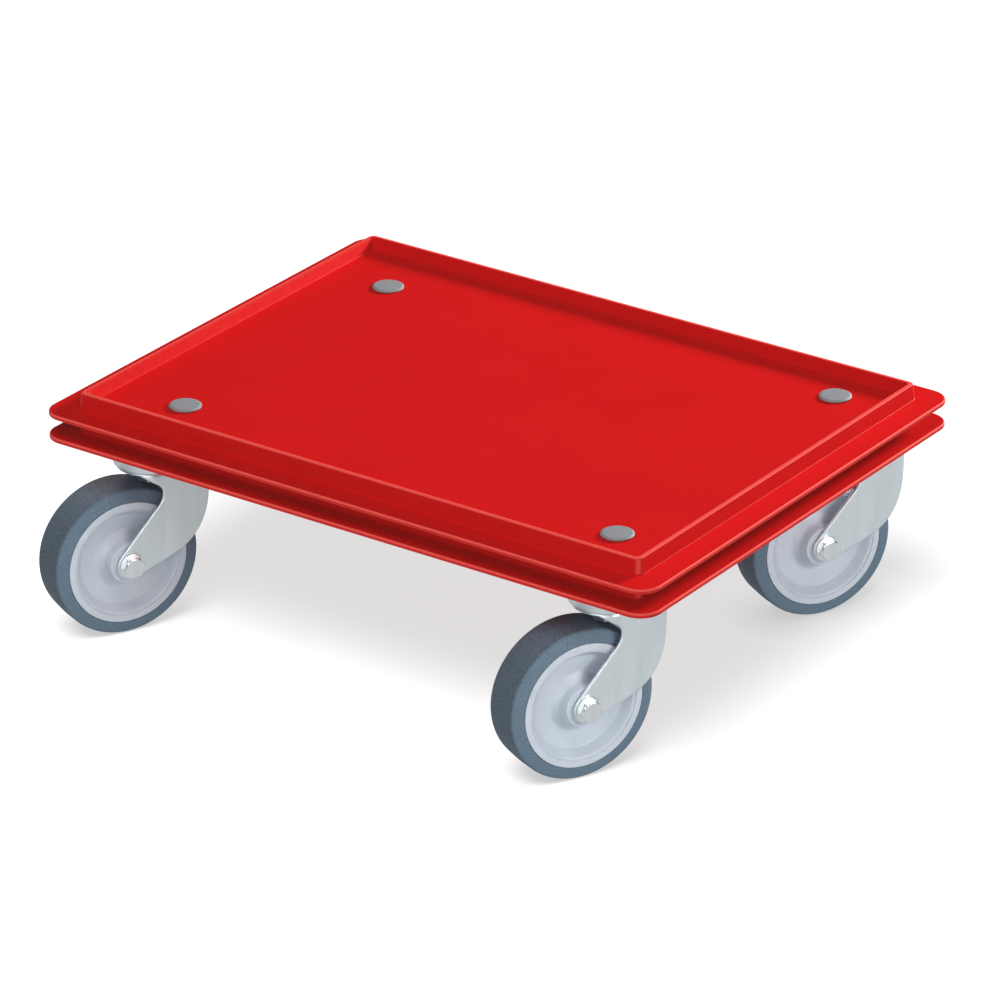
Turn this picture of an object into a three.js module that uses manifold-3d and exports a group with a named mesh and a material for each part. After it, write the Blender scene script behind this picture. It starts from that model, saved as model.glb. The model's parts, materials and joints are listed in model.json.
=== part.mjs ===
// Crate dolly: a red plastic deck, moulded as a tray over a base, on four swivel castors.
// Millimetres, +Z up, +X along the deck's long side. The origin is on the floor, at the middle of
// the footprint that the deck and the trailing wheels cover together.
import * as THREE from "three";
import { mergeVertices } from "three/addons/utils/BufferGeometryUtils.js";
import Module from "manifold-3d";

const wasm = await Module();
wasm.setup();

const GAP = 0.3; // air left between two pieces that touch
const OVERRUN = 1; // how far a cutter runs past what it cuts

// Deck: an upper tray over a base with the same brim, and a stiff board between them.
const RIM_LENGTH = 424; // outside of the raised rim
const RIM_WIDTH = 314.4;
const RIM_EDGE = 2.7; // thickness of the rim at its top
const RIM_FOOT = 6.2; // from the outside of the rim in to the tray floor
const FLOOR_MIDDLE = 60; // the middle face of a floor stops this far short of the floor's edge
const BRIM_OVERHANG = 17.9;
const BRIM_CORNER = 14.4;
const SHEET = 3.4;
const TRAY_DEPTH = 7.2;
const RIM_WALL = 10.6; // from the brim up to the rim's top
const RIM_TOP = 154.5;
const BRIM_PITCH = 15.9; // from one brim up to the next
const UPPER_BRIM = RIM_TOP - RIM_WALL;
const LOWER_BRIM = UPPER_BRIM - BRIM_PITCH;
const UPPER_FLOOR = RIM_TOP - TRAY_DEPTH;
const DECK_UNDERSIDE = LOWER_BRIM - SHEET;
const BOARD_TOP = UPPER_FLOOR - SHEET - GAP;
const BOARD_BOTTOM = LOWER_BRIM + GAP;
const DECK_SET_BACK = 16.3; // deck centre behind the footprint's centre

// Castors.
const SWIVEL_X = 174;
const SWIVEL_Y = 136.5;
const TRAIL = 23.1;
const WHEEL_RADIUS = 50;
const TREAD_EDGE_RADIUS = 49.5;
const TREAD_HALF_WIDTH = 13;
const HUB_RADIUS = 40.9;
const WHEEL_HALF_WIDTH = 15.4;
const BOSS_HALF_LENGTH = 17.3;
const LEG_OUTSIDE = 20.2; // from the wheel's middle plane
const LEG_SHEET = 2.5;
const LEG_END_RADIUS = 9.6;
const LEG_REAR = 36.1;
const LEG_SWEEP = 52.9; // radius on which the legs draw in towards the back
const LEG_STRAIGHT_END = 9.6; // where that radius starts, behind the swivel axis
const CROWN_TOP = 110.1;
const CROWN_UNDERSIDE = CROWN_TOP - LEG_SHEET;
const CROWN_RADIUS = 21;
const CROWN_SKIRT_BOTTOM = 101.2; // the crown's edge is turned down from here up
const HEAD_RADIUS = 22.5;
const KINGPIN_RADIUS = 8;

// Each castor's swivel angle in degrees, and where the tray is screwed down near it.
const CASTORS = [
  { corner: "front_right", x: SWIVEL_X, y: -SWIVEL_Y, swivel: -25.5, screw: [173.5, -123] },
  { corner: "front_left", x: -SWIVEL_X, y: -SWIVEL_Y, swivel: -26.1, screw: [-154, -123] },
  { corner: "back_right", x: SWIVEL_X, y: SWIVEL_Y, swivel: -28.4, screw: [173.5, 123.5] },
  { corner: "back_left", x: -SWIVEL_X, y: SWIVEL_Y, swivel: -27, screw: [-160.5, 104] },
];

// Fasteners: shank radius, hole radius, width across flats, head height and nut height.
const M10 = { shank: 4.9, hole: 5.5, flats: 16, head: 6.3, nut: 5.4 };
const M8 = { shank: 3.9, hole: 4.3, flats: 13, head: 5.3, nut: 6.5 };
const BOLT_TURN = 8; // degrees by which the axle bolts' heads are turned
const TRAY_SCREW = { head: 5, shank: 2, socket: 1.6, socketDepth: 1.8, bottom: 132.3 };
const CAP = { radius: 10.8, pin: 1.3, height: 1.7, bevel: 0.7 };

const MATERIALS = {
  red_plastic: new THREE.MeshStandardMaterial({ color: 0xd01c1d, roughness: 0.45 }),
  board: new THREE.MeshStandardMaterial({ color: 0xc8a878, roughness: 0.8 }),
  grey_plastic: new THREE.MeshStandardMaterial({ color: 0x929497, roughness: 0.5 }),
  wheel_plastic: new THREE.MeshStandardMaterial({ color: 0xb4c0ce, roughness: 0.45 }),
  rubber: new THREE.MeshStandardMaterial({ color: 0x5c6c7a, roughness: 0.75 }),
  zinc: new THREE.MeshStandardMaterial({ color: 0xb9c4c6, roughness: 0.35, metalness: 0.9 }),
};

// ---- solids -------------------------------------------------------------------------------------

function solid(geometry) {
  const bare = geometry.clone();
  bare.deleteAttribute("normal");
  bare.deleteAttribute("uv");
  const merged = mergeVertices(bare, 1e-3);
  return new wasm.Manifold(
    new wasm.Mesh({
      numProp: 3,
      vertProperties: new Float32Array(merged.attributes.position.array),
      triVerts: new Uint32Array(merged.index.array),
    }),
  );
}

function geometryOf(body) {
  const mesh = body.getMesh();
  return new THREE.BufferGeometry()
    .setAttribute("position", new THREE.BufferAttribute(mesh.vertProperties, 3))
    .setIndex(new THREE.BufferAttribute(mesh.triVerts, 1));
}

// A body turned about Z from a closed outline of [radius, height] points, anticlockwise.
function turned(outline, sides) {
  const points = [...outline, outline[0]].map(([r, z]) => new THREE.Vector2(r, z));
  return new THREE.LatheGeometry(points, sides).rotateX(Math.PI / 2);
}

function rod(radius, bottom, top, sides) {
  return new THREE.CylinderGeometry(radius, radius, top - bottom, sides)
    .rotateX(Math.PI / 2)
    .translate(0, 0, (bottom + top) / 2);
}

function hexagon(flats, bottom, top) {
  return rod(flats / Math.sqrt(3), bottom, top, 6);
}

// A tube from inner to outer radius.
function tube(inner, outer, bottom, top, sides) {
  return turned([[inner, bottom], [outer, bottom], [outer, top], [inner, top]], sides);
}

function prism(shape, bottom, top, curveSegments = 6) {
  return new THREE.ExtrudeGeometry(shape, {
    depth: top - bottom,
    bevelEnabled: false,
    curveSegments,
  }).translate(0, 0, bottom);
}

// Stands a body that was made about Z on the axle's line: +Z becomes +X.
const alongAxle = (geometry) => geometry.rotateY(Math.PI / 2);

// ---- deck ---------------------------------------------------------------------------------------

const CORNER_STEPS = 5;
const EDGE = 0.8; // the small bevels along the deck's edges

// One loop of the rim's rectangle, moved out by `out`, with corners of radius `corner`.
function loop(out, z, corner) {
  const points = [];
  for (let quarter = 0; quarter < 4; quarter++) {
    const sx = quarter === 0 || quarter === 3 ? 1 : -1;
    const sy = quarter < 2 ? 1 : -1;
    for (let step = 0; step <= CORNER_STEPS; step++) {
      const angle = ((quarter + step / CORNER_STEPS) * Math.PI) / 2;
      points.push([
        sx * (RIM_LENGTH / 2 + out - corner) + corner * Math.cos(angle),
        sy * (RIM_WIDTH / 2 + out - corner) + corner * Math.sin(angle),
        z,
      ]);
    }
  }
  return points;
}

// A closed body through loops that run from the middle of its top, outwards and back underneath.
function shell(loops) {
  const count = loops[0].length;
  const vertices = [...loops.flat(), [0, 0, loops[0][0][2]], [0, 0, loops.at(-1)[0][2]]];
  const topMiddle = vertices.length - 2;
  const bottomMiddle = vertices.length - 1;
  const last = (loops.length - 1) * count;
  const faces = [];
  for (let k = 0; k < count; k++) {
    const next = (k + 1) % count;
    faces.push(topMiddle, k, next, bottomMiddle, last + next, last + k);
    for (let i = 0; i < last; i += count) {
      faces.push(i + k, i + count + k, i + count + next, i + k, i + count + next, i + next);
    }
  }
  return new THREE.BufferGeometry()
    .setAttribute("position", new THREE.Float32BufferAttribute(vertices.flat(), 3))
    .setIndex(faces);
}

// A formed tray: sunk floor, raised rim round it, and a flat brim that sticks out all round.
function tray(floor, rim, brim) {
  return solid(
    shell([
      loop(-RIM_FOOT - FLOOR_MIDDLE, floor, 3),
      loop(-RIM_FOOT, floor, 3),
      loop(-RIM_EDGE - EDGE, rim - EDGE, 3),
      loop(-RIM_EDGE, rim, 3),
      loop(-EDGE, rim, 3.4),
      loop(0, rim - EDGE, 4),
      loop(1, brim + EDGE, 5),
      loop(1 + EDGE, brim, 5.5),
      loop(BRIM_OVERHANG - EDGE, brim, BRIM_CORNER - EDGE),
      loop(BRIM_OVERHANG, brim - EDGE, BRIM_CORNER),
      loop(BRIM_OVERHANG, brim - SHEET + EDGE, BRIM_CORNER),
      loop(BRIM_OVERHANG - EDGE, brim - SHEET, BRIM_CORNER - EDGE),
      loop(-2.5, brim - SHEET, 2.5),
      loop(-3, floor - SHEET, 2.5),
    ]),
  );
}

// A body less a copy of the cutter at each of the places.
function cutAt(body, places, cutter) {
  return places.reduce(
    (rest, [x, y]) => rest.subtract(solid(cutter.clone().translate(x, y, 0))),
    body,
  );
}

const BOLTS = CASTORS.map(({ x, y }) => [x, y]);
const SCREWS = CASTORS.map(({ screw }) => screw);

// The upper tray, countersunk for the screws that hold it to the board.
function upperTray() {
  const narrow = TRAY_SCREW.shank + GAP;
  const wide = TRAY_SCREW.head + GAP;
  const bottom = UPPER_FLOOR - SHEET - OVERRUN;
  const top = UPPER_FLOOR + OVERRUN;
  const neck = UPPER_FLOOR - (wide - narrow);
  const countersink = turned(
    [[0, bottom], [narrow, bottom], [narrow, neck], [wide, UPPER_FLOOR], [wide, top], [0, top]],
    12,
  );
  return geometryOf(cutAt(tray(UPPER_FLOOR, RIM_TOP, UPPER_BRIM), SCREWS, countersink));
}

function baseTray() {
  const hole = rod(M10.hole, DECK_UNDERSIDE - OVERRUN, LOWER_BRIM + OVERRUN, 14);
  return geometryOf(cutAt(tray(LOWER_BRIM, UPPER_BRIM - SHEET - GAP, LOWER_BRIM), BOLTS, hole));
}

const WASHER = { radius: 9.8, thickness: 1.7, bottom: 135.2 };
const NUT_BOTTOM = WASHER.bottom + WASHER.thickness + GAP;
const COUNTERBORE_RADIUS = 10.2;

// The stiff board between tray and base. The castor bolts clamp it, and their nuts sink into it.
function coreBoard() {
  const above = BOARD_TOP + OVERRUN;
  const inset = RIM_FOOT + 0.7;
  const plate = solid(shell([loop(-inset, BOARD_TOP, 3), loop(-inset, BOARD_BOTTOM, 3)]));
  const bolt = rod(M10.hole, BOARD_BOTTOM - OVERRUN, above, 14);
  const sink = rod(COUNTERBORE_RADIUS, WASHER.bottom - GAP, above, 14);
  const pilot = rod(TRAY_SCREW.shank + GAP, TRAY_SCREW.bottom - GAP, above, 12);
  return geometryOf(cutAt(cutAt(cutAt(plate, BOLTS, bolt), BOLTS, sink), SCREWS, pilot));
}

// A countersunk wood screw with a plain socket.
function trayScrew() {
  const { head, shank, socket, socketDepth, bottom } = TRAY_SCREW;
  const top = UPPER_FLOOR - GAP;
  return turned(
    [
      [0, bottom],
      [shank, bottom + 2 * shank],
      [shank, top - (head - shank)],
      [head, top],
      [socket, top],
      [socket, top - socketDepth],
      [0, top - socketDepth],
    ],
    12,
  );
}

// The cap over a tray screw: a thin disc with a pin that sits in the screw's socket.
function coverCap() {
  const seat = UPPER_FLOOR + GAP;
  const top = UPPER_FLOOR + CAP.height;
  const pinEnd = UPPER_FLOOR - TRAY_SCREW.socketDepth;
  return turned(
    [
      [0, pinEnd],
      [CAP.pin, pinEnd],
      [CAP.pin, seat],
      [CAP.radius, seat],
      [CAP.radius, top - CAP.bevel],
      [CAP.radius - 2 * CAP.bevel, top],
      [0, top],
    ],
    16,
  );
}

// ---- castor head, fixed under the deck ----------------------------------------------------------

const KINGPIN_FLANGE = { radius: 13.5, bottom: 104.5, top: CROWN_UNDERSIDE - 0.4 };
const RACE_UNDERSIDE = 116.5;
const RACE_TOP = RACE_UNDERSIDE + LEG_SHEET;
const RACE_RADIUS = 16.2;
const BALL = { radius: 3, pitch: 13.6, height: CROWN_TOP + 3.2, count: 8 };

// The pressed head: a flat seat under the deck, a sunk ball race and a skirt down to the crown.
function headCup() {
  const seat = DECK_UNDERSIDE - GAP;
  const skirtInside = HEAD_RADIUS - LEG_SHEET;
  const foot = CROWN_TOP + 0.5;
  return turned(
    [
      [KINGPIN_RADIUS + 0.4, RACE_UNDERSIDE],
      [RACE_RADIUS, RACE_UNDERSIDE],
      [skirtInside - 1.9, seat - LEG_SHEET],
      [skirtInside, seat - LEG_SHEET],
      [skirtInside, foot],
      [HEAD_RADIUS, foot],
      [HEAD_RADIUS, seat],
      [RACE_RADIUS + 0.6, seat],
      [RACE_RADIUS - 1.8, RACE_TOP],
      [KINGPIN_RADIUS + 0.4, RACE_TOP],
    ],
    20,
  );
}

function ballCage() {
  const ringHalf = { width: 1.2, height: 0.5 };
  let cage = solid(
    tube(
      BALL.pitch - ringHalf.width,
      BALL.pitch + ringHalf.width,
      BALL.height - ringHalf.height,
      BALL.height + ringHalf.height,
      BALL.count,
    ),
  );
  for (let i = 0; i < BALL.count; i++) {
    const angle = (i / BALL.count) * 2 * Math.PI;
    const ball = new THREE.OctahedronGeometry(BALL.radius).translate(
      BALL.pitch * Math.cos(angle),
      BALL.pitch * Math.sin(angle),
      BALL.height,
    );
    cage = cage.add(solid(ball));
  }
  return geometryOf(cage);
}

// The hollow rivet that the crown turns on.
function kingpin() {
  const end = RACE_TOP + 2;
  return turned(
    [
      [M10.hole, KINGPIN_FLANGE.bottom],
      [KINGPIN_FLANGE.radius, KINGPIN_FLANGE.bottom],
      [KINGPIN_FLANGE.radius, KINGPIN_FLANGE.top],
      [KINGPIN_RADIUS, KINGPIN_FLANGE.top],
      [KINGPIN_RADIUS, end],
      [M10.hole, end],
    ],
    12,
  );
}

function mountingBolt() {
  const headTop = KINGPIN_FLANGE.bottom - GAP;
  const head = solid(hexagon(M10.flats, headTop - M10.head, headTop));
  const end = NUT_BOTTOM + M10.nut + 0.8;
  return geometryOf(head.add(solid(rod(M10.shank, headTop - OVERRUN, end, 10))));
}

function nut(size, bottom) {
  const top = bottom + size.nut;
  const hole = rod(size.hole, bottom - OVERRUN, top + OVERRUN, 10);
  return geometryOf(solid(hexagon(size.flats, bottom, top)).subtract(solid(hole)));
}

const washer = () =>
  tube(M10.hole, WASHER.radius, WASHER.bottom, WASHER.bottom + WASHER.thickness, 12);

// ---- fork ---------------------------------------------------------------------------------------
// In a castor's own frame the axle runs along X and the wheel trails towards -Y.

// Adds the fork's sides to a plan: straight past the legs, then drawn in towards the back.
function addSides(plan, inset) {
  const side = LEG_OUTSIDE - inset;
  const sweep = LEG_SWEEP - inset;
  const backAngle = Math.asin((LEG_REAR + 4 - LEG_STRAIGHT_END) / sweep);
  plan.absarc(side - sweep, LEG_STRAIGHT_END, sweep, 0, backAngle, false);
  plan.absarc(sweep - side, LEG_STRAIGHT_END, sweep, Math.PI - backAngle, Math.PI, false);
  plan.closePath();
  return plan;
}

// The legs from above, open towards the front.
function legPlan(inset) {
  const front = -TRAIL - LEG_END_RADIUS - OVERRUN;
  const plan = new THREE.Shape();
  plan.moveTo(inset - LEG_OUTSIDE, front);
  plan.lineTo(LEG_OUTSIDE - inset, front);
  return addSides(plan, inset);
}

// The crown from above, round in front.
function crownPlan(inset) {
  const radius = CROWN_RADIUS - inset;
  const turn = Math.asin((LEG_OUTSIDE - inset) / radius);
  const plan = new THREE.Shape();
  plan.absarc(0, 0, radius, -Math.PI / 2 - turn, -Math.PI / 2 + turn, false);
  return addSides(plan, inset);
}

// Legs and crown as a block without its sheet's inside.
function forkBlock(inset, bottom, top) {
  const legs = solid(prism(legPlan(inset), bottom, CROWN_SKIRT_BOTTOM));
  return legs.add(solid(prism(crownPlan(inset), CROWN_SKIRT_BOTTOM, top)));
}

// The fork seen along the axle: horizontal is Y, vertical is the height above the floor.
function forkSide() {
  const front = -CROWN_RADIUS - OVERRUN;
  const lowerTangent = THREE.MathUtils.degToRad(-69.6);
  const upperTangent = THREE.MathUtils.degToRad(138);
  const side = new THREE.Shape();
  side.moveTo(LEG_REAR, CROWN_TOP);
  side.lineTo(front, CROWN_TOP);
  side.lineTo(front, CROWN_UNDERSIDE);
  side.lineTo(-13.5, CROWN_UNDERSIDE);
  side.lineTo(-4.3, 101.7);
  side.bezierCurveTo(-1.8, 100.2, 0.3, 98.4, 0.3, 94.7);
  side.bezierCurveTo(0.3, 89.4, -2.9, 86.8, -8.7, 80.4);
  side.absarc(-TRAIL, WHEEL_RADIUS, LEG_END_RADIUS, upperTangent, lowerTangent + 2 * Math.PI);
  side.lineTo(2.8, 49.3);
  side.bezierCurveTo(21.2, 56.3, LEG_REAR, 67.3, LEG_REAR, 90.4);
  side.closePath();
  return side;
}

function fork() {
  const reach = LEG_OUTSIDE + 5;
  const bottom = WHEEL_RADIUS - LEG_END_RADIUS - OVERRUN;
  const side = prism(forkSide(), -reach, reach, 4).rotateX(Math.PI / 2).rotateZ(Math.PI / 2);
  const pivot = rod(KINGPIN_RADIUS + 0.8, CROWN_UNDERSIDE - OVERRUN, CROWN_TOP + OVERRUN, 12);
  const axle = alongAxle(rod(M8.hole, -reach, reach, 10)).translate(0, -TRAIL, WHEEL_RADIUS);
  return geometryOf(
    forkBlock(0, bottom, CROWN_TOP)
      .subtract(forkBlock(LEG_SHEET, bottom - OVERRUN, CROWN_UNDERSIDE))
      .intersect(solid(side))
      .subtract(solid(pivot))
      .subtract(solid(axle)),
  );
}

// ---- wheel and axle, about their own axis --------------------------------------------------------

const WHEEL_SIDES = 24;
const BORE_RADIUS = 6.5;
const SLEEVE_RADIUS = 6;

// One half of the wheel body's outline, from the rim in to the bore: [radius, distance out].
const HUB_SIDE = [
  [HUB_RADIUS, WHEEL_HALF_WIDTH],
  [36.2, WHEEL_HALF_WIDTH],
  [30.5, 8.2],
  [19, 6.6],
  [13.3, BOSS_HALF_LENGTH],
  [BORE_RADIUS, BOSS_HALF_LENGTH],
];

function wheelBody() {
  const farSide = HUB_SIDE.map(([r, out]) => [r, -out]).reverse();
  return turned([...HUB_SIDE, ...farSide], WHEEL_SIDES);
}

function tyre() {
  const inside = HUB_RADIUS + GAP;
  const half = [
    [WHEEL_RADIUS, 0],
    [TREAD_EDGE_RADIUS, TREAD_HALF_WIDTH],
    [inside, WHEEL_HALF_WIDTH],
  ];
  const farSide = half.slice(1).map(([r, out]) => [r, -out]).reverse();
  return turned([...farSide, ...half], WHEEL_SIDES);
}

function axleBolt() {
  const seat = LEG_OUTSIDE + GAP;
  const turn = THREE.MathUtils.degToRad(BOLT_TURN);
  const head = solid(hexagon(M8.flats, seat, seat + M8.head).rotateZ(turn));
  const end = -seat - M8.nut - 1.5;
  return geometryOf(head.add(solid(rod(M8.shank, end, seat + OVERRUN, 10))));
}

const axleNut = () => nut(M8, -LEG_OUTSIDE - GAP - M8.nut);

function axleSleeve() {
  const reach = LEG_OUTSIDE - LEG_SHEET - GAP;
  return tube(M8.hole, SLEEVE_RADIUS, -reach, reach, 12);
}

// ---- assembly -----------------------------------------------------------------------------------

function add(parent, name, geometry, material) {
  const mesh = new THREE.Mesh(geometry, MATERIALS[material]);
  mesh.name = name;
  parent.add(mesh);
  return mesh;
}

function castor({ corner, x, y, swivel }) {
  const head = new THREE.Group();
  head.position.set(x, y, 0);
  head.rotation.z = THREE.MathUtils.degToRad(swivel);
  add(head, `head_cup_${corner}`, headCup(), "zinc");
  add(head, `ball_cage_${corner}`, ballCage(), "zinc");
  add(head, `kingpin_${corner}`, kingpin(), "zinc");
  add(head, `mounting_bolt_${corner}`, mountingBolt(), "zinc");
  add(head, `mounting_washer_${corner}`, washer(), "zinc");
  add(head, `mounting_nut_${corner}`, nut(M10, NUT_BOTTOM), "zinc");
  add(head, `fork_${corner}`, fork(), "zinc");

  const axle = new THREE.Group();
  axle.position.set(0, -TRAIL, WHEEL_RADIUS);
  add(axle, `axle_bolt_${corner}`, alongAxle(axleBolt()), "zinc");
  add(axle, `axle_nut_${corner}`, alongAxle(axleNut()), "zinc");
  add(axle, `axle_sleeve_${corner}`, alongAxle(axleSleeve()), "zinc");
  add(axle, `wheel_body_${corner}`, alongAxle(wheelBody()), "wheel_plastic");
  add(axle, `tyre_${corner}`, alongAxle(tyre()), "rubber");
  head.add(axle);
  return head;
}

const deck = new THREE.Group();
deck.position.y = DECK_SET_BACK;
add(deck, "upper_tray", upperTray(), "red_plastic");
add(deck, "base_tray", baseTray(), "red_plastic");
add(deck, "core_board", coreBoard(), "board");
for (const { corner, screw } of CASTORS) {
  add(deck, `tray_screw_${corner}`, trayScrew(), "zinc").position.set(...screw, 0);
  add(deck, `cover_cap_${corner}`, coverCap(), "grey_plastic").position.set(...screw, 0);
}
deck.add(...CASTORS.map(castor));

const dolly = new THREE.Group();
dolly.add(deck);

export default dolly;
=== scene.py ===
"""Crate dolly in a plain studio: a red tray deck on four swivel castors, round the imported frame.

The builders and the camera work in millimetres, and MM turns those into metres at the end. Lights
are placed in metres.
"""
import json
import math

import bpy
import numpy as np
from mathutils import Matrix, Vector


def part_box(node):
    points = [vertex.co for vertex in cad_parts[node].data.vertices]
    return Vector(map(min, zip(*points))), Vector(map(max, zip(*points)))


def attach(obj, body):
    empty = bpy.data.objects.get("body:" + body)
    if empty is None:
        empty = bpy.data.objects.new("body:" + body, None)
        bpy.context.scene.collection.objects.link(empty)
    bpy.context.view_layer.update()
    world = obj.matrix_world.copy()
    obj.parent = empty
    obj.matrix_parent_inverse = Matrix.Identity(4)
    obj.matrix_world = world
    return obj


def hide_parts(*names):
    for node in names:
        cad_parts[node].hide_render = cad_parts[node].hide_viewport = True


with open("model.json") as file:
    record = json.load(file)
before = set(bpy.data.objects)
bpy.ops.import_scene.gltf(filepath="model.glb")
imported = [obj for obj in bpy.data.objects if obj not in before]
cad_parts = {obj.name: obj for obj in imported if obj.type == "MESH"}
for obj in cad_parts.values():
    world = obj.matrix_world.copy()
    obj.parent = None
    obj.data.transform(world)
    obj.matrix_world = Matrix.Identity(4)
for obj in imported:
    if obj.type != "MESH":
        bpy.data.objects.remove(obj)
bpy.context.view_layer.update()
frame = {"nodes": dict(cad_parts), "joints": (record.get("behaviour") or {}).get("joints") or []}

MM = 0.001
CORNERS = ("front_right", "front_left", "back_right", "back_left")
JOINTS = {joint["name"]: joint for joint in frame["joints"]}
deck_low, deck_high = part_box("upper_tray")
DECK_Y = (deck_low.y + deck_high.y) / 2 / MM
RIM_TOP = deck_high.z / MM

# Deck
RIM_LENGTH, RIM_WIDTH = 424, 314.4
RIM_FOOT = 6.2
BRIM_OVERHANG = 17.9
FLOOR_MIDDLE = -60
SHEET = 3.4
UPPER_FLOOR = RIM_TOP - 7.2
UPPER_BRIM = RIM_TOP - 10.6
LOWER_BRIM = UPPER_BRIM - 15.9
DECK_UNDERSIDE = LOWER_BRIM - SHEET
CORNER_STEPS = 14
# How far out from the rim's outside a loop lies, and its corner radius there
LOOP_OUT = (-RIM_FOOT, -2.7, 0, 1.8, BRIM_OVERHANG)
LOOP_CORNER = (3, 3, 4, 5.5, 14.4)
# How strong the painted highlight is down the rim's outer corners
CORNER_HIGHLIGHT = 0.75

# Castor, in its own frame: the axle along X, the wheel trailing towards -Y, heights from the floor.
# GAP is the clearance between pieces that meet.
GAP = 0.3
TRAIL = 23.1
WHEEL_RADIUS = 50
TREAD_EDGE_RADIUS = 49.5
TREAD_HALF_WIDTH = 13
TREAD_CROWN = 60
HUB_RADIUS = 40.9
WHEEL_HALF_WIDTH = 15.4
BOSS_HALF_LENGTH = 17.3
BORE_RADIUS = 6.5
LEG_OUTSIDE = 20.2
LEG_SHEET = 2.5
LEG_END_RADIUS = 9.6
LEG_REAR = 36.1
LEG_SWEEP = 52.9
LEG_STRAIGHT_END = 9.6
CROWN_TOP = 110.1
CROWN_RADIUS = 21
HEAD_RADIUS = 22.5
KINGPIN_RADIUS = 8

# Bolts: width across flats, shank radius, and how high the heads and nuts are. AXLE_TURN, and
# BOLT_EDGE_ANGLE above which an edge stays sharp, are in degrees.
AXLE_FLATS = 13
AXLE_SHANK = 3.9
AXLE_HEAD = 5.3
AXLE_NUT = 6.5
AXLE_TURN = 8
AXLE_END_BEYOND_NUT = 1.5
AXLE_THREAD_TURNS = 3
AXLE_THREAD_DEPTH = 0.5
THREAD_PITCH = 1.25
FLANGE_RADIUS = 8.3
FLANGE_THICKNESS = 0.8
MOUNT_FLATS = 16
MOUNT_SHANK = 4.9
MOUNT_HEAD = 6.3
MOUNT_SEAT = 104.2
MOUNT_END = 143.4
BOLT_EDGE_ANGLE = 12


# ---- materials ----------------------------------------------------------------------------------

class Shader:
    """A node material: a Principled shader with object coordinates, and short ways to add nodes."""

    def __init__(self, name, **sockets):
        self.material = bpy.data.materials.new(name)
        self.material.use_nodes = True
        self.tree = self.material.node_tree
        self.surface = self.tree.nodes["Principled BSDF"]
        for socket, value in sockets.items():
            self.surface.inputs[socket.replace("_", " ")].default_value = value
        self.place = self.add("ShaderNodeTexCoord").outputs["Object"]

    def add(self, kind, **settings):
        node = self.tree.nodes.new(kind)
        for key, value in settings.items():
            setattr(node, key, value)
        return node

    def link(self, source, target):
        self.tree.links.new(source, target)

    def noise(self, size, detail=3.0, roughness=0.55, stretch=(1, 1, 1)):
        """Noise whose features are about `size` millimetres across, divided by stretch."""
        mapping = self.add("ShaderNodeMapping")
        mapping.inputs["Scale"].default_value = stretch
        self.link(self.place, mapping.inputs["Vector"])
        node = self.add("ShaderNodeTexNoise")
        node.inputs["Scale"].default_value = 1 / (size * MM)
        node.inputs["Detail"].default_value = detail
        node.inputs["Roughness"].default_value = roughness
        self.link(mapping.outputs["Vector"], node.inputs["Vector"])
        return node.outputs["Fac"]

    def cells(self, size):
        """A pattern of cells about `size` millimetres across, each with its own colour."""
        node = self.add("ShaderNodeTexVoronoi")
        node.inputs["Scale"].default_value = 1 / (size * MM)
        self.link(self.place, node.inputs["Vector"])
        return node.outputs["Color"]

    def painted_edge_light(self):
        """The painted highlight on the mesh's faces, from 0 to 1."""
        return self.add("ShaderNodeAttribute", attribute_name="highlight_paint").outputs["Fac"]

    def between(self, value, low, high, start=0.3, end=0.7):
        """Maps a 0 to 1 pattern to a number from low to high."""
        node = self.add("ShaderNodeMapRange")
        self.link(value, node.inputs["Value"])
        limits = {"From Min": start, "From Max": end, "To Min": low, "To Max": high}
        for socket, number in limits.items():
            node.inputs[socket].default_value = number
        return node.outputs["Result"]

    def blend(self, value, low, high):
        """Maps a 0 to 1 pattern to a colour between two colours or sockets."""
        node = self.add("ShaderNodeMix", data_type="RGBA")
        self.link(value, node.inputs["Factor"])
        for socket, colour in (("A", low), ("B", high)):
            target = next(s for s in node.inputs if s.name == socket and s.type == "RGBA")
            if isinstance(colour, tuple):
                target.default_value = (*colour, 1)
            else:
                self.link(colour, target)
        return next(s for s in node.outputs if s.type == "RGBA")

    def bump(self, value, height, strength=1.0, after=None):
        """Bumps of that height in millimetres, on top of an earlier bump if one is given."""
        node = self.add("ShaderNodeBump")
        node.inputs["Distance"].default_value = height * MM
        node.inputs["Strength"].default_value = strength
        self.link(value, node.inputs["Height"])
        if after is not None:
            self.link(after, node.inputs["Normal"])
        return node.outputs["Normal"]

    def finish(self, **sources):
        """Links the shader's sockets to their sources and hands over the material."""
        for socket, source in sources.items():
            self.link(source, self.surface.inputs[socket.replace("_", " ")])
        return self.material


def red_plastic():
    """Moulded red plastic: a finely mottled skin, with a painted highlight that makes it paler
    along its edges. A trace of painted glow stands for the brownish haze that its shaded parts
    keep."""
    # A faint painted glow lifts the shaded red towards a brownish haze
    glow_haze_colour, glow_haze_strength = (0, 1, 0.78, 1), 0.0064
    deep_red, clear_red = (0.655, 0.0030, 0.0046), (0.69, 0.0040, 0.0060)
    dark_speck, highlight_red = (0.48, 0.003, 0.003), (0.95, 0.115, 0.095)
    shader = Shader(
        "red_plastic",
        Specular_IOR_Level=0.04,
        Emission_Color=glow_haze_colour,
        Emission_Strength=glow_haze_strength,
    )
    tone = shader.blend(shader.between(shader.noise(60, 4), 0, 1), deep_red, clear_red)
    speck = shader.between(shader.noise(1.8, 4, 0.7), 0, 0.2, 0.35, 0.65)
    mottled = shader.blend(speck, tone, dark_speck)
    grain = shader.bump(shader.noise(1.1, 3, 0.6), 0.06, 0.5)
    # The base colour turns paler red where the edge highlight is painted
    return shader.finish(
        Base_Color=shader.blend(shader.painted_edge_light(), mottled, highlight_red),
        Roughness=shader.between(shader.noise(4, 3), 0.34, 0.46),
        Normal=shader.bump(shader.noise(22, 2), 0.12, 0.4, after=grain),
    )


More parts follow.
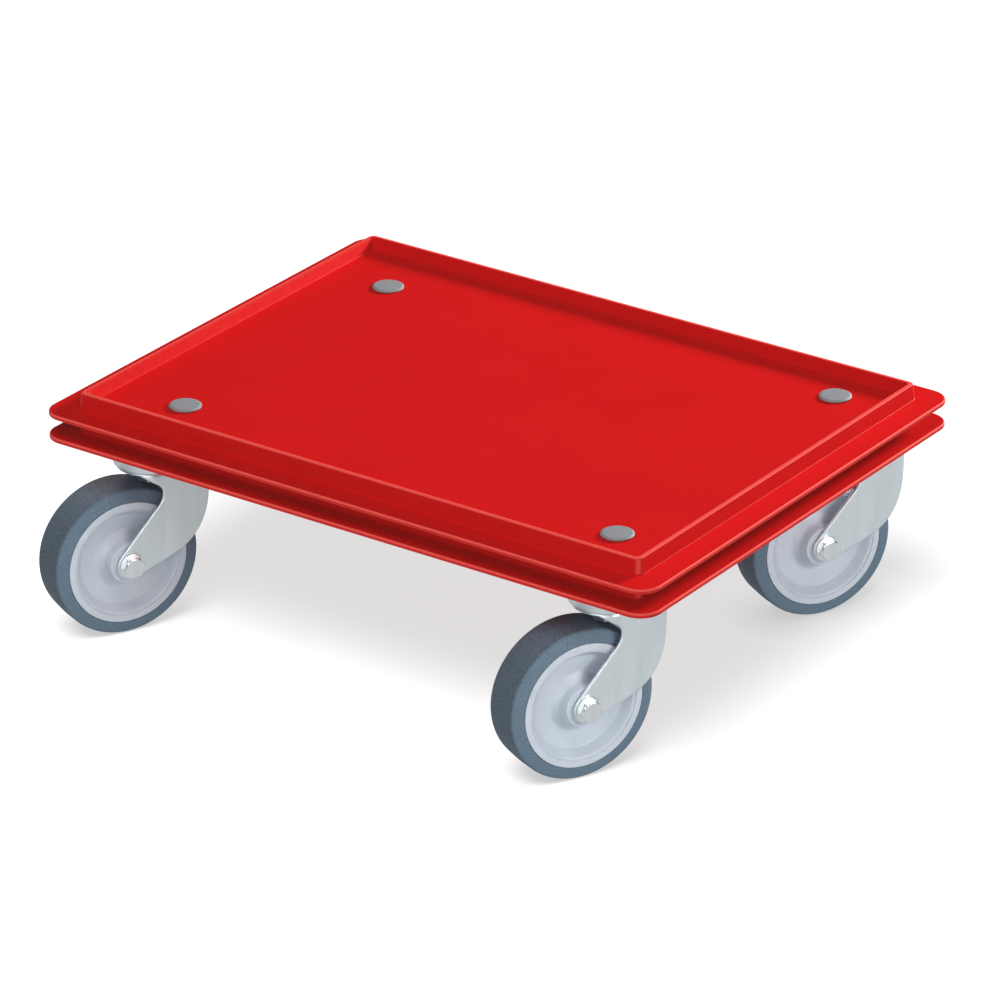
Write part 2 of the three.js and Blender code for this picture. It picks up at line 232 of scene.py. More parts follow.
def grey_cap_plastic():
    dark_grey, light_grey = (0.265, 0.275, 0.29), (0.305, 0.315, 0.33)
    shader = Shader("grey_cap_plastic", Specular_IOR_Level=0.35)
    return shader.finish(
        Base_Color=shader.blend(shader.noise(3, 4), dark_grey, light_grey),
        Roughness=shader.between(shader.noise(2, 3), 0.42, 0.58),
        Normal=shader.bump(shader.noise(0.5, 2), 0.02, 0.5),
    )


def wheel_plastic():
    dark_blue_grey, light_blue_grey = (0.515, 0.575, 0.645), (0.57, 0.63, 0.70)
    shader = Shader("wheel_plastic", Specular_IOR_Level=0.4)
    cloudy = shader.between(shader.noise(14, 4), 0, 1)
    return shader.finish(
        Base_Color=shader.blend(cloudy, dark_blue_grey, light_blue_grey),
        Roughness=shader.between(shader.noise(5, 3), 0.30, 0.45),
        Normal=shader.bump(shader.noise(0.8, 2), 0.02, 0.4),
    )


def tyre_rubber():
    """Moulded rubber with a dusty, finely pitted skin, darker round the tread."""
    tread_ends, wall_starts = 11.8, 13.6
    clean_tread, dusty_tread = (0.06, 0.088, 0.118), (0.14, 0.183, 0.228)
    clean_wall, dusty_wall = (0.095, 0.15, 0.205), (0.155, 0.22, 0.28)
    shader = Shader("tyre_rubber", Specular_IOR_Level=0.25)
    parts = shader.add("ShaderNodeSeparateXYZ")
    shader.link(shader.place, parts.inputs[0])
    out = shader.add("ShaderNodeMath", operation="ABSOLUTE")
    shader.link(parts.outputs["X"], out.inputs[0])
    side = shader.between(out.outputs[0], 0, 1, tread_ends * MM, wall_starts * MM)
    dust = shader.between(shader.noise(1.3, 5, 0.8), 0, 1, 0.38, 0.66)
    tread = shader.blend(dust, clean_tread, dusty_tread)
    wall = shader.blend(dust, clean_wall, dusty_wall)
    return shader.finish(
        Base_Color=shader.blend(side, tread, wall),
        Roughness=shader.between(shader.noise(3, 4), 0.55, 0.75),
        Normal=shader.bump(shader.noise(0.7, 4, 0.7), 0.07, 0.7),
    )


def zinc_plate(name, base, roughness):
    """Zinc plating: a satin metal with a faint crystal spangle, upright drawing lines, and upright
    streaks of painted reflection in its colour.
    """
    reflection_streak_shade, spangle_shade = 0.92, 0.72
    reflection_streak_colour = tuple(c * reflection_streak_shade for c in base)
    spangle_colour = tuple(c * spangle_shade for c in base)
    shader = Shader(name, Metallic=1.0)
    spangle = shader.cells(1.3)
    fine = shader.noise(0.4, 3)
    drawn = shader.noise(1.2, 3, stretch=(1, 1, 0.06))
    # Upright streaks of painted reflection: bands of slightly darker colour on the metal
    reflection_streaks = shader.between(shader.noise(8, 2, stretch=(1, 1, 0.1)), 0, 1)
    tone = shader.blend(reflection_streaks, reflection_streak_colour, base)
    faint = shader.between(spangle, 0.0, 0.12, 0, 1)
    return shader.finish(
        Base_Color=shader.blend(faint, tone, spangle_colour),
        Roughness=shader.between(drawn, roughness - 0.06, roughness + 0.08),
        Normal=shader.bump(fine, 0.012, 0.35, after=shader.bump(drawn, 0.02, 0.25)),
    )


def plywood():
    dark_wood, pale_wood = (0.42, 0.27, 0.13), (0.66, 0.48, 0.28)
    shader = Shader("plywood", Specular_IOR_Level=0.3, Roughness=0.75)
    grain = shader.noise(2.5, 6, 0.65, stretch=(0.06, 1, 1))
    return shader.finish(
        Base_Color=shader.blend(grain, dark_wood, pale_wood),
        Normal=shader.bump(grain, 0.15, 0.5),
    )


def floor_paint():
    """A white light table. It glows evenly on the object; the camera sees a painted contact shade
    that makes it a little dimmer close to what stands on it. Its thin paint takes the soft shadow."""
    shade_reach_m, shade_samples = 0.03, 16
    glow_in_contact_shade, glow_in_open = 0.54, 0.72
    glow_on_object = 0.5
    paint_on_object, paint_in_view = 0.02, 0.1
    material = bpy.data.materials.new("floor_paint")
    material.use_nodes = True
    tree = material.node_tree
    nodes, link = tree.nodes, tree.links.new
    nodes.clear()
    # Painted contact shade: ambient occlusion dims the glow the camera sees close to the object
    near = nodes.new("ShaderNodeAmbientOcclusion")
    near.inputs["Distance"].default_value = shade_reach_m
    near.samples = shade_samples
    contact_shade = nodes.new("ShaderNodeMapRange")
    link(near.outputs["AO"], contact_shade.inputs["Value"])
    contact_shade.inputs["To Min"].default_value = glow_in_contact_shade
    contact_shade.inputs["To Max"].default_value = glow_in_open
    surfaces = []
    for in_view, paint in ((False, paint_on_object), (True, paint_in_view)):
        glow = nodes.new("ShaderNodeEmission")
        if in_view:
            link(contact_shade.outputs["Result"], glow.inputs["Strength"])
        else:
            glow.inputs["Strength"].default_value = glow_on_object
        matt = nodes.new("ShaderNodeBsdfDiffuse")
        matt.inputs["Color"].default_value = (paint, paint, paint, 1)
        both = nodes.new("ShaderNodeAddShader")
        link(glow.outputs["Emission"], both.inputs[0])
        link(matt.outputs["BSDF"], both.inputs[1])
        surfaces.append(both.outputs["Shader"])
    path = nodes.new("ShaderNodeLightPath")
    mix = nodes.new("ShaderNodeMixShader")
    link(path.outputs["Is Camera Ray"], mix.inputs["Fac"])
    link(surfaces[0], mix.inputs[1])
    link(surfaces[1], mix.inputs[2])
    link(mix.outputs["Shader"], nodes.new("ShaderNodeOutputMaterial").inputs["Surface"])
    return material


RED = red_plastic()
CAP_GREY = grey_cap_plastic()
WHEEL_GREY = wheel_plastic()
RUBBER = tyre_rubber()
ZINC = zinc_plate("zinc_plate", (0.82, 0.90, 0.93), 0.42)
BRIGHT_ZINC = zinc_plate("bright_zinc_plate", (0.88, 0.93, 0.95), 0.30)
PLY = plywood()


# ---- mesh builders ------------------------------------------------------------------------------

def mesh_from(name, vertices, faces, material, sharp=35):
    """A smooth-shaded mesh from millimetres, with its edges sharper than `sharp` degrees kept."""
    mesh = bpy.data.meshes.new(name)
    mesh.from_pydata([tuple(v) for v in np.asarray(vertices, float) * MM], [], faces)
    mesh.materials.append(material)
    mesh.polygons.foreach_set("use_smooth", [True] * len(mesh.polygons))
    mesh.set_sharp_from_angle(angle=math.radians(sharp))
    return mesh


def fillet(corners, steps=4):
    """A smooth closed outline: each corner (a, b, radius) becomes an arc of that radius."""
    points = []
    count = len(corners)
    for i, (a, b, radius) in enumerate(corners):
        here = np.array([a, b], float)
        if radius == 0:
            points.append(tuple(here))
            continue
        before = np.array(corners[i - 1][:2], float) - here
        after = np.array(corners[(i + 1) % count][:2], float) - here
        before /= np.linalg.norm(before)
        after /= np.linalg.norm(after)
        half = math.acos(max(-1.0, min(1.0, float(before @ after)))) / 2
        reach = radius / math.tan(half)
        middle = here + (before + after) / np.linalg.norm(before + after) * radius / math.sin(half)
        start, end = here + before * reach - middle, here + after * reach - middle
        angle = math.atan2(start[1], start[0])
        turn = math.atan2(start[0] * end[1] - start[1] * end[0], float(start @ end))
        for k in range(steps + 1):
            t = angle + turn * k / steps
            points.append((middle[0] + radius * math.cos(t), middle[1] + radius * math.sin(t)))
    return points


def turned(outline, sides):
    """Vertices and faces of an outline of (radius, height) turned about Z. Points at radius 0 close
    the body on the axis. An outline that starts off the axis has its two ends joined."""
    on_axis = 1e-6
    vertices, rings = [], []
    for radius, height in outline:
        if radius < on_axis:
            rings.append([len(vertices)] * sides)
            vertices.append((0, 0, height))
            continue
        rings.append(list(range(len(vertices), len(vertices) + sides)))
        for k in range(sides):
            angle = 2 * math.pi * k / sides
            vertices.append((radius * math.cos(angle), radius * math.sin(angle), height))
    faces = []
    pairs = list(zip(rings, rings[1:]))
    if outline[0][0] > on_axis:
        pairs.append((rings[-1], rings[0]))
    for low, high in pairs:
        for k in range(sides):
            n = (k + 1) % sides
            corners = [low[k], low[n], high[n], high[k]]
            corners = [c for i, c in enumerate(corners) if c != corners[i - 1]]
            if len(corners) > 2:
                faces.append(corners)
    return vertices, faces


def along_axle(vertices):
    """Turns a body made about Z so that its axis lies along X."""
    return [(z, y, -x) for x, y, z in vertices]


def hexagon_radius(flats, angle):
    """Distance from the axis to a hexagon's edge in that direction."""
    sector = (angle + math.pi / 6) % (math.pi / 3) - math.pi / 6
    return flats / 2 / math.cos(sector)


def hex_body(flats, levels, turn=0, hole=None, sides=72):
    """A hexagon turned down by cones. The levels are (height, largest radius), or (height, radius,
    "round") where the body is round, from one end to the other. The ends are closed, or joined by a
    hole right through."""
    rings = list(levels)
    if hole is not None:
        rings += [(levels[-1][0], hole), (levels[0][0], hole)]
    vertices, faces = [], []
    for height, limit, *form in rings:
        is_round = form == ["round"]
        for k in range(sides):
            angle = 2 * math.pi * (k + 0.5) / sides
            radius = limit if is_round else min(limit, hexagon_radius(flats, angle))
            angle += math.radians(turn)
            vertices.append((radius * math.cos(angle), radius * math.sin(angle), height))
    pairs = list(zip(range(len(rings)), range(1, len(rings))))
    if hole is not None:
        pairs.append((len(rings) - 1, 0))
    else:
        faces.append(list(range(sides))[::-1])
        faces.append(list(range((len(rings) - 1) * sides, len(rings) * sides)))
    for low, high in pairs:
        for k in range(sides):
            n = (k + 1) % sides
            faces.append([low * sides + k, low * sides + n, high * sides + n, high * sides + k])
    return vertices, faces


def skin(distance, low, high, step):
    """Surface nets: quads round the space where distance(x, y, z) is below 0."""
    axes = [np.arange(a, b + step, step) for a, b in zip(low, high)]
    grid = np.stack(np.meshgrid(*axes, indexing="ij"))
    depth = distance(*grid)
    inside = depth < 0
    shape = tuple(n - 1 for n in depth.shape)
    total = np.zeros((3, *shape))
    count = np.zeros(shape)
    crossings = []
    for axis in range(3):
        near = [slice(None)] * 3
        far = [slice(None)] * 3
        near[axis], far[axis] = slice(0, -1), slice(1, None)
        near, far = tuple(near), tuple(far)
        crossing = inside[near] != inside[far]
        change = np.where(crossing, depth[near] - depth[far], 1)
        point = grid[(slice(None), *near)].copy()
        point[axis] += step * np.where(crossing, depth[near] / change, 0)
        crossings.append((crossing, inside[near]))
        for i in (0, 1):
            for j in (0, 1):
                cut = [slice(None)] * 3
                for other, shift in zip([o for o in range(3) if o != axis], (i, j)):
                    cut[other] = slice(shift, shift + shape[other])
                cut = tuple(cut)
                total += np.where(crossing[cut], point[(slice(None), *cut)], 0)
                count += crossing[cut]
    used = count > 0
    number = np.cumsum(used).reshape(shape) - 1
    vertices = (total[:, used] / count[used]).T
    faces = []
    for axis, (crossing, inward) in enumerate(crossings):
        u, v = (axis + 1) % 3, (axis + 2) % 3
        at = np.array(np.nonzero(crossing))
        at = at[:, (at[u] > 0) & (at[u] < shape[u]) & (at[v] > 0) & (at[v] < shape[v])]
        ring = []
        for du, dv in ((-1, -1), (0, -1), (0, 0), (-1, 0)):
            cell = at.copy()
            cell[u] += du
            cell[v] += dv
            ring.append(number[tuple(cell)])
        ring = np.array(ring).T
        flip = ~inward[tuple(at)]
        ring[flip] = ring[flip][:, ::-1]
        faces += ring.tolist()
    return vertices, faces


def place(mesh, name, body, matrix, replaces):
    """Puts a mesh in the scene as a piece that rides on a body and stands for a CAD node."""
    piece = bpy.data.objects.new(name, mesh)
    bpy.context.scene.collection.objects.link(piece)
    piece.matrix_world = matrix
    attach(piece, body)
    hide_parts(replaces)
    return piece


# ---- deck ---------------------------------------------------------------------------------------

def deck_loop(out, height):
    """The rim's rectangle moved out by `out`; its corners open up from the rim to the brim."""
    corner = float(np.interp(out, LOOP_OUT, LOOP_CORNER))
    points = []
    for quarter in range(4):
        sx = 1 if quarter in (0, 3) else -1
        sy = 1 if quarter < 2 else -1
        for step in range(CORNER_STEPS + 1):
            angle = (quarter + step / CORNER_STEPS) * math.pi / 2
            points.append(
                (
                    sx * (RIM_LENGTH / 2 + out - corner) + corner * math.cos(angle),
                    DECK_Y + sy * (RIM_WIDTH / 2 + out - corner) + corner * math.sin(angle),
                    height,
                )
            )
    return points


def edge_highlight_at(out, height, rim, brim):
    """How much painted highlight the tray gets at a point of its section: most on its rim and its
    brim's top edge.
    """
    rim_highlight, brim_edge_highlight, brim_side_highlight = 0.72, 0.85, 0.2
    rim_depth, rim_width = 0.7, 1.9
    edge_depth, edge_width, side_width = 1.0, 0.9, 0.4
    if height > rim - rim_depth and out > -rim_width:
        return rim_highlight
    if out > BRIM_OVERHANG - edge_width and height > brim - edge_depth:
        return brim_edge_highlight
    if out > BRIM_OVERHANG - side_width:
        return brim_side_highlight
    return 0.0


def formed_tray(name, floor, rim, brim):
    """A moulded tray: sunk floor, raised rim, flat brim, all with small rounded edges."""
    section = fillet(
        [
            (FLOOR_MIDDLE, floor, 0),
            (-RIM_FOOT, floor, 1.2),
            (-3.2, rim, 0.9),
            (0, rim, 1.0),
            (1, brim, 1.0),
            (BRIM_OVERHANG, brim, 1.2),
            (BRIM_OVERHANG, brim - SHEET, 1.0),
            (-2.5, brim - SHEET, 0.8),
            (-3, floor - SHEET - 0.01, 0.0),
            (FLOOR_MIDDLE, floor - SHEET - 0.01, 0),
        ]
    )
    loops = [deck_loop(out, height) for out, height in section]
    count = len(loops[0])
    vertices = [point for loop in loops for point in loop]
    faces = [list(range(count)), list(range(len(vertices) - count, len(vertices)))[::-1]]
    # Each face carries its painted highlight, from 0 to 1
    highlight_paint = [0.0, 0.0]
    for strip, (start, end) in enumerate(zip(section, section[1:])):
        out, height = (start[0] + end[0]) / 2, (start[1] + end[1]) / 2
        # The rim's outer wall gets a painted highlight down its corners.
        is_wall = start[1] - end[1] > 3 and 0 < out < 2
        for k in range(count):
            n = (k + 1) % count
            i = strip * count
            faces.append([i + k, i + count + k, i + count + n, i + n])
            across = (k % (CORNER_STEPS + 1) + 0.5 - CORNER_STEPS / 2) / CORNER_STEPS
            corner = CORNER_HIGHLIGHT * math.exp(-(across * 4) ** 2) if is_wall else 0
            highlight_paint.append(max(corner, edge_highlight_at(out, height, rim, brim)))
    mesh = mesh_from(name, vertices, faces, RED)
    mesh.attributes.new("highlight_paint", "FLOAT", "FACE").data.foreach_set("value", highlight_paint)
    return mesh


def keep_flats_flat(piece):
    """Lets the large faces rule the shading, so that small rounded edges don't tint them."""
    piece.modifiers.new("face_weights", "WEIGHTED_NORMAL").keep_sharp = True


def build_deck():
    """Places the two trays and the four caps, and returns the trays."""
    upper = formed_tray("tray_skin", UPPER_FLOOR, RIM_TOP, UPPER_BRIM)
    lower = formed_tray("base_skin", LOWER_BRIM, UPPER_BRIM - SHEET - GAP, LOWER_BRIM)
    trays = [
        place(upper, "tray_deck", "deck", Matrix(), "upper_tray"),
        place(lower, "tray_base", "deck", Matrix(), "base_tray"),
    ]
    for tray in trays:
        keep_flats_flat(tray)
    cap = cap_mesh()
    for corner in CORNERS:
        low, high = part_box(f"cover_cap_{corner}")
        centre = Matrix.Translation(((low.x + high.x) / 2, (low.y + high.y) / 2, UPPER_FLOOR * MM))
        place(cap, f"grey_cap_{corner}", "deck", centre, f"cover_cap_{corner}")
    return trays


def cap_mesh():
    """A push-in cap, its height measured from the tray floor."""
    pin, pin_end, seat, radius, top = 1.3, -1.8, GAP, 10.5, 1.7
    outline = fillet(
        [
            (0, pin_end, 0),
            (pin, pin_end, 0.3),
            (pin, seat, 0),
            (radius, seat, 0.15),
            (radius, top - 0.7, 0.3),
            (radius - 1.3, top, 0.5),
            (0, top, 0),
        ],
        3,
    )
    vertices, faces = turned(outline, 64)
    return mesh_from("cover_cap", vertices, faces, CAP_GREY)


# ---- fork ---------------------------------------------------------------------------------------

def bezier(points, steps=10):
    """Points along a cubic curve from its four control points."""
    a, b, c, d = (np.array(p, float) for p in points)
    t = np.linspace(0, 1, steps + 1)[:, None]
    return (1 - t) ** 3 * a + 3 * (1 - t) ** 2 * t * b + 3 * (1 - t) * t ** 2 * c + t ** 3 * d


def fork_outline():
    """The fork seen along the axle, as points (y, height over the floor): crown, gusset and leg."""
    above, under = CROWN_TOP + 3, CROWN_TOP - LEG_SHEET
    crown_front, gusset_start = -24, -13.5
    gusset = [(-4.3, 101.7), (-1.8, 100.2), (0.3, 98.4), (0.3, 94.7)]
    front_edge = [(0.3, 94.7), (0.3, 89.4), (-2.9, 86.8), (-8.7, 80.4)]
    rear_edge = [(2.8, 49.3), (21.2, 56.3), (LEG_REAR, 67.3), (LEG_REAR, 90.4)]
    turn = np.radians(np.linspace(138, 290.4, 24))
    end = np.stack([np.cos(turn), np.sin(turn)], axis=1) * LEG_END_RADIUS + (-TRAIL, WHEEL_RADIUS)
    return np.concatenate(
        [
            [(LEG_REAR, above), (crown_front, above), (crown_front, under), (gusset_start, under)],
            bezier(gusset),
            bezier(front_edge)[1:],
            end,
            bezier(rear_edge),
        ]
    )


def polygon_distance(points, x, y):
    """Signed distance to a closed polygon, below 0 inside."""
    nearest = np.full(x.shape, np.inf)
    inside = np.zeros(x.shape, bool)
    for (ax, ay), (bx, by) in zip(points, np.roll(points, -1, axis=0)):
        ex, ey = bx - ax, by - ay
        t = np.clip(((x - ax) * ex + (y - ay) * ey) / (ex * ex + ey * ey), 0, 1)
        nearest = np.minimum(nearest, np.hypot(x - ax - t * ex, y - ay - t * ey))
        if ey != 0:
            inside ^= ((ay > y) != (by > y)) & (x < ax + (y - ay) / ey * ex)
    return np.where(inside, -nearest, nearest)


def soft_max(a, b, radius):
    """The larger of two distances, with the edge between them rounded."""
    overlap = np.maximum(radius - np.abs(a - b), 0) / radius
    return np.maximum(a, b) + overlap * overlap * radius / 4


def fork_distance(x, y, z):
    """Signed distance to the pressed fork: two legs bent down from a crown of the same sheet."""
    bend, legs_top = 3.2, 95
    fold_edge, cut_edge, pivot_room = 0.6, 0.9, 0.8
    side = np.abs(x)
    drawn = np.hypot(side + LEG_SWEEP - LEG_OUTSIDE, y - LEG_STRAIGHT_END) - LEG_SWEEP
    plan = np.where(y > LEG_STRAIGHT_END, drawn, side - LEG_OUTSIDE)
    round_front = np.maximum(plan, np.hypot(x, y) - CROWN_RADIUS)
    plan = np.where((y < 0) & (z > legs_top), round_front, plan)
    up = z - CROWN_TOP
    outer = np.hypot(np.maximum(plan + bend, 0), np.maximum(up + bend, 0)) - bend
    outer = outer + np.minimum(np.maximum(plan, up) + bend, 0)
    sheet = soft_max(outer, -outer - LEG_SHEET, fold_edge)
    body = soft_max(sheet, polygon_distance(fork_outline(), y[0], z[0])[None], cut_edge)
    pivot = KINGPIN_RADIUS + pivot_room - np.hypot(x, y)
    return np.maximum(body, pivot)


def fork_mesh():
    margin, cell = 2, 0.8
    reach = LEG_OUTSIDE + margin
    low = (-reach, -TRAIL - LEG_END_RADIUS - margin, WHEEL_RADIUS - LEG_END_RADIUS - margin)
    high = (reach, LEG_REAR + margin, CROWN_TOP + margin)
    vertices, faces = skin(fork_distance, low, high, cell)
    return mesh_from("fork", vertices, faces, ZINC, sharp=180)


# ---- castor pieces ------------------------------------------------------------------------------

def head_mesh():
    """The pressed head under the deck, with a rounded foot just over the crown."""
    seat, foot, race = DECK_UNDERSIDE - GAP, CROWN_TOP + 0.25, 116.5
    inner, hole = HEAD_RADIUS - LEG_SHEET, KINGPIN_RADIUS + 0.4
    outline = fillet(
        [
            (hole, race, 0),
            (16.2, race, 1),
            (inner - 1.9, seat - LEG_SHEET, 1),
            (inner, seat - LEG_SHEET, 0.5),
            (inner, foot, 0.3),
            (HEAD_RADIUS, foot, 0.4),
            (HEAD_RADIUS, seat, 0.8),
            (16.8, seat, 1.5),
            (14.4, race + LEG_SHEET, 1.5),
            (hole, race + LEG_SHEET, 0),
        ]
    )
    vertices, faces = turned(outline, 72)
    return mesh_from("castor_head", vertices, faces, ZINC)


def wheel_mesh():
    """The wheel body: a flat ring, a dished web and a boss at each side, and a plain bore."""
    half = [
        (HUB_RADIUS, WHEEL_HALF_WIDTH, 0.4),
        (36.9, WHEEL_HALF_WIDTH, 0.15),
        (36.7, 14.6, 0.12),
        (36.1, 14.6, 0.12),
        (35.9, 15.1, 0.2),
        (34.7, 14.1, 1.0),
        (30.9, 8.3, 2.6),
        (19.0, 6.6, 4.0),
        (14.1, 10.4, 3.0),
        (13.3, 16.7, 0.5),
        (12.9, BOSS_HALF_LENGTH, 0.3),
        (11.7, BOSS_HALF_LENGTH, 0.2),
        (11.4, 16.7, 0.15),
        (11.0, 16.7, 0.15),
        (10.7, BOSS_HALF_LENGTH, 0.2),
        (BORE_RADIUS, BOSS_HALF_LENGTH, 0.4),
    ]
    far = [(r, -out, radius) for r, out, radius in half]
    outline = fillet(half[::-1] + far, 5)
    vertices, faces = turned(outline[::-1], 128)
    return mesh_from("wheel_body", along_axle(vertices), faces, WHEEL_GREY)


def tyre_mesh():
    """The tyre: slanted side faces, round shoulders and a slightly crowned tread."""
    half = [
        (HUB_RADIUS + GAP, WHEEL_HALF_WIDTH - 0.1, 0.5),
        (TREAD_EDGE_RADIUS, TREAD_HALF_WIDTH, 2.2),
        (WHEEL_RADIUS, 0, TREAD_CROWN),
    ]
    outline = fillet(half + [(r, -out, radius) for r, out, radius in half[1::-1]], 8)[::-1]
    vertices, faces = turned(outline, 160)
    return mesh_from("tyre", along_axle(vertices), faces, RUBBER)


def head_levels(seat, top, flats):
    """Levels of a hexagon head from the washer face under it to its chamfered top. They run
    downwards if the top is below the seat."""
    corner = flats / math.sqrt(3)
    way = 1 if top > seat else -1
    return [
        (seat, flats / 2 - 0.3),
        (seat + 0.35 * way, flats / 2 - 0.2),
        (seat + 0.4 * way, corner - 0.25),
        (seat + 0.7 * way, corner + 1),
        (top - 0.95 * way, corner + 1),
        (top - 0.55 * way, corner - 0.35),
        (top - 0.12 * way, flats / 2 - 0.2),
        (top, flats / 2 - 0.55),
    ]


def flange_levels(seat, top, flats):
    """A hexagon head that stands on a thin round flange."""
    corner = flats / math.sqrt(3)
    chamfer = FLANGE_RADIUS - 0.2
    foot = seat + FLANGE_THICKNESS + 0.05
    return [
        (seat, chamfer, "round"),
        (seat + 0.15, FLANGE_RADIUS, "round"),
        (seat + FLANGE_THICKNESS - 0.15, FLANGE_RADIUS, "round"),
        (seat + FLANGE_THICKNESS, chamfer, "round"),
        (foot, corner + 0.05, "round"),
        (foot, corner + 1),
        (top - 1.05, corner + 1),
        (top - 0.6, corner - 0.35),
        (top - 0.1, flats / 2 - 0.25),
        (top, flats / 2 - 0.5),
    ]


def thread_levels(end, root, crest, turns):
    """Ring grooves for the thread at a shank's end, from the end inwards."""
    point = 0.4
    levels = [(end, root - point)]
    for turn in range(turns):
        start = end + point + turn * THREAD_PITCH
        levels.append((start, crest))
        levels.append((start + 0.35 * THREAD_PITCH, crest))
        levels.append((start + 0.7 * THREAD_PITCH, root))
    return levels + [(end + point + turns * THREAD_PITCH, crest)]


def bolt_mesh(name, vertices, faces):
    """A bolt or nut in bright plating, its chamfers kept as sharp edges."""
    return mesh_from(name, vertices, faces, BRIGHT_ZINC, sharp=BOLT_EDGE_ANGLE)


def axle_bolt_mesh():
    """The axle: a flanged head outside one leg, a thread beyond the nut outside the other."""
    seat = LEG_OUTSIDE + GAP
    end = -seat - AXLE_NUT - AXLE_END_BEYOND_NUT
    levels = thread_levels(end, AXLE_SHANK - AXLE_THREAD_DEPTH, AXLE_SHANK, AXLE_THREAD_TURNS)
    levels += [(seat, AXLE_SHANK)] + flange_levels(seat, seat + AXLE_HEAD, AXLE_FLATS)
    vertices, faces = hex_body(AXLE_FLATS, levels, AXLE_TURN)
    return bolt_mesh("axle_bolt", along_axle(vertices), faces)


def axle_nut_mesh():
    seat = LEG_OUTSIDE + GAP
    levels = head_levels(-seat, -seat - AXLE_NUT, AXLE_FLATS)[::-1]
    vertices, faces = hex_body(AXLE_FLATS, levels, AXLE_TURN, AXLE_SHANK + 0.2)
    return bolt_mesh("axle_nut", along_axle(vertices), faces)


def mounting_bolt_mesh():
    """The bolt from the crown's underside up to the nut in the deck, its head below."""
    chamfer = 0.6
    levels = head_levels(MOUNT_SEAT, MOUNT_SEAT - MOUNT_HEAD, MOUNT_FLATS)[::-1]
    levels.append((MOUNT_SEAT, MOUNT_SHANK))
    levels.append((MOUNT_END - chamfer, MOUNT_SHANK))
    levels.append((MOUNT_END, MOUNT_SHANK - chamfer))
    vertices, faces = hex_body(MOUNT_FLATS, levels)
    return bolt_mesh("mounting_bolt", vertices, faces)


# ---- assembly -----------------------------------------------------------------------------------

def castor_frame(corner):
    """Where the castor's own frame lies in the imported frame, from its two joints."""
    pivot = JOINTS[f"swivel_{corner}"]["pos_m"]
    axle = Vector(JOINTS[f"wheel_spin_{corner}"]["axis"])
    turn = Matrix.Rotation(math.atan2(axle.y, axle.x), 4, "Z")
    return Matrix.Translation((pivot[0], pivot[1], 0)) @ turn


def build_castors():
    """Places the pieces of all four castors, the same meshes for each, and returns them."""
    # Name, mesh, body, slot, whether it is placed about the axle, and the node it replaces
    pieces = (
        ("pressed_fork", fork_mesh(), "castor", "zinc", False, "fork"),
        ("castor_head", head_mesh(), "deck", "zinc", False, "head_cup"),
        ("hex_bolt", mounting_bolt_mesh(), "deck", "bright_zinc", False, "mounting_bolt"),
        ("wheel_disc", wheel_mesh(), "wheel", "wheel_plastic", True, "wheel_body"),
        ("tyre_ring", tyre_mesh(), "wheel", "tyre_rubber", True, "tyre"),
        ("wheel_bolt", axle_bolt_mesh(), "castor", "bright_zinc", True, "axle_bolt"),
        ("wheel_nut", axle_nut_mesh(), "castor", "bright_zinc", True, "axle_nut"),
    )
    axle_shift = Matrix.Translation((0, -TRAIL * MM, WHEEL_RADIUS * MM))
    placed = []
    for corner in CORNERS:
        here = castor_frame(corner)
        for name, mesh, body, slot, on_axle, node in pieces:
            rides = body if body == "deck" else f"{body}_{corner}"
            matrix = here @ axle_shift if on_axle else here
            placed.append(place(mesh, f"{name}_{corner}", rides, matrix, f"{node}_{corner}"))
    return placed


def finish_cad_nodes():
    """Gives the CAD nodes their materials. Those that no piece stands for are the board, which is
    plywood, and small zinc-plated parts."""
    for name, node in frame["nodes"].items():
        material = PLY if name == "core_board" else ZINC
        node.data.materials.clear()
        node.data.materials.append(material)


# ---- studio -------------------------------------------------------------------------------------

def build_floor():
    half = 8000
    corners = [(-half, -half, 0), (half, -half, 0), (half, half, 0), (-half, half, 0)]
    mesh = mesh_from("studio_floor", corners, [[0, 1, 2, 3]], floor_paint())
    floor = bpy.data.objects.new("studio_floor", mesh)
    bpy.context.scene.collection.objects.link(floor)
    return floor


def group_of(name, objects, state):
    """A collection that a light uses to INCLUDE or EXCLUDE the objects in it."""
    group = bpy.data.collections.new(name)
    for item in objects:
        group.objects.link(item)
    for entry in group.collection_objects:
        entry.light_linking.link_state = state
    return group


def lamp(name, light, place_m, aim=(0, 0, 0.1), only=(), never=(), through=()):
    """Puts a light in the scene. It falls only on some things or spares some, and may shine through
    some."""
    holder = bpy.data.objects.new(name, light)
    holder.location = place_m
    holder.rotation_mode = "QUATERNION"
    holder.rotation_quaternion = (Vector(aim) - Vector(place_m)).to_track_quat("-Z", "Y")
    bpy.context.scene.collection.objects.link(holder)
    state = "INCLUDE" if only else "EXCLUDE"
    holder.light_linking.receiver_collection = group_of(f"{name}_reach", only or never, state)
    if through:
        holder.light_linking.blocker_collection = group_of(f"{name}_through", through, "EXCLUDE")


def softbox(name, place_m, width_m, watts, **reach):
    """A square light that faces the object."""
    light = bpy.data.lights.new(name, "AREA")
    light.shape = "SQUARE"
    light.size = width_m
    light.energy = watts
    lamp(name, light, place_m, **reach)


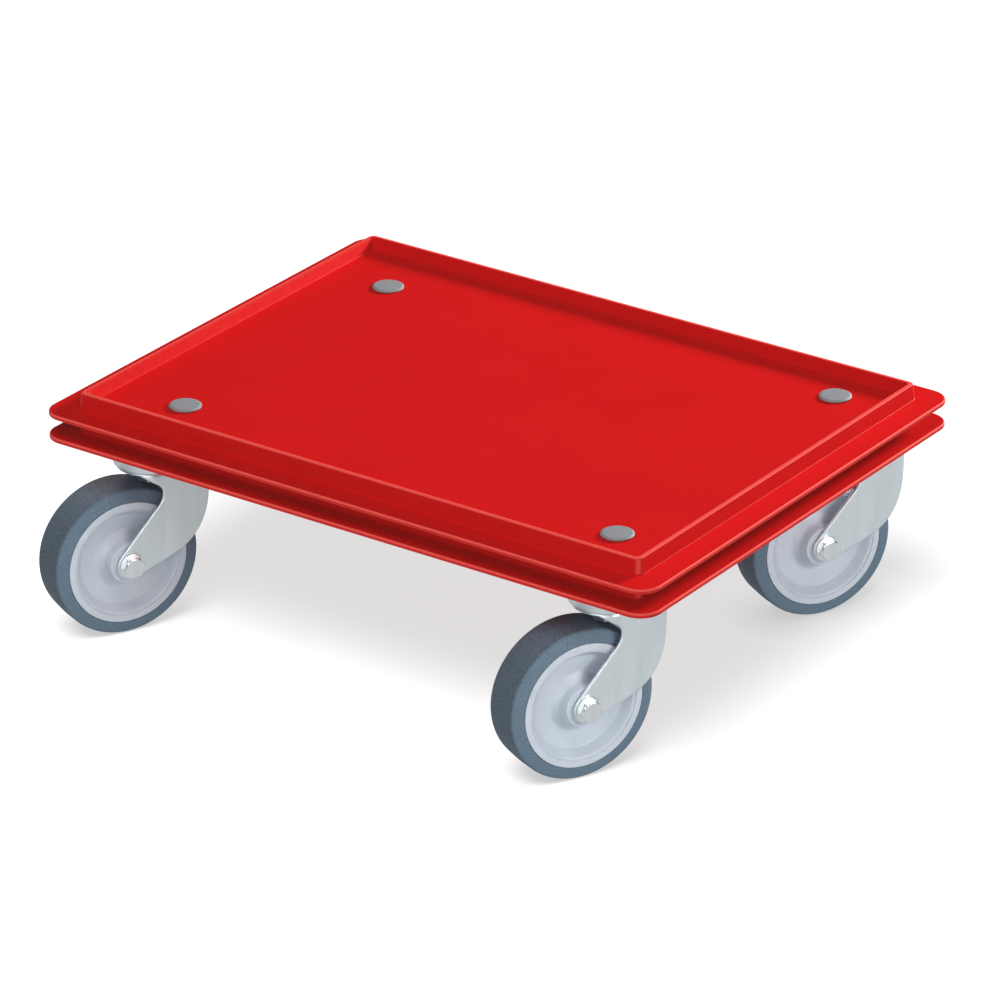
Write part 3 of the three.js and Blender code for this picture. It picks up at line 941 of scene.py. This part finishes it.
def build_lights(floor, trays, castors):
    """A dim white world, four softboxes that spare the floor, two for the castors alone, and a sun
    for the floor alone, which gives it its shadow."""
    world_glow = 0.09
    sun_strength, sun_spread = 5.5 * math.pi, math.radians(36)
    world = bpy.data.worlds.new("studio")
    world.use_nodes = True
    background = world.node_tree.nodes["Background"]
    background.inputs["Color"].default_value = (1, 1, 1, 1)
    background.inputs["Strength"].default_value = world_glow
    bpy.context.scene.world = world
    bpy.context.scene.view_settings.view_transform = "Standard"
    # Name, place and width in metres, and power in watts
    softbox("overhead", (0.1, -0.7, 2.3), 1.6, 23, never=[floor])
    softbox("key_behind", (0.85, 2.69, 1.05), 0.5, 130, never=[floor])
    softbox("right", (2.5, -0.3, 1.6), 1.2, 3, never=[floor])
    softbox("right_low", (2.5, -0.3, 1.1), 1.0, 33, only=castors)
    softbox("fill_front", (1.05, -2.83, 0.9), 2.4, 36, never=[floor])
    softbox("castor_glint", (-1.9, 0.85, 1.3), 1.2, 18, only=castors, through=trays)
    table = bpy.data.lights.new("table", "SUN")
    table.energy = sun_strength
    table.angle = sun_spread
    lamp("table", table, (0.42, -1.5, 3), aim=(0, 0, 0), only=[floor])


def build_camera():
    """A long lens at the front right, looking 25 degrees down at the deck's front right part."""
    azimuth, elevation = math.radians(34.89), math.radians(25.17)
    distance = 3769.4
    lens, sensor_width = 223.8, 36
    far_limit_m = 50
    target = Vector((96.35, DECK_Y - 135.87, RIM_TOP))
    back = Vector(
        (
            math.sin(azimuth) * math.cos(elevation),
            -math.cos(azimuth) * math.cos(elevation),
            math.sin(elevation),
        )
    )
    data = bpy.data.cameras.new("camera")
    data.sensor_width = sensor_width
    data.lens = lens
    data.clip_end = far_limit_m
    camera = bpy.data.objects.new("camera", data)
    camera.location = (target + back * distance) * MM
    camera.rotation_mode = "QUATERNION"
    camera.rotation_quaternion = (-back).to_track_quat("-Z", "Y")
    bpy.context.scene.collection.objects.link(camera)
    bpy.context.scene.camera = camera


build_camera()
trays = build_deck()
castors = build_castors()
finish_cad_nodes()
build_lights(build_floor(), trays, castors)
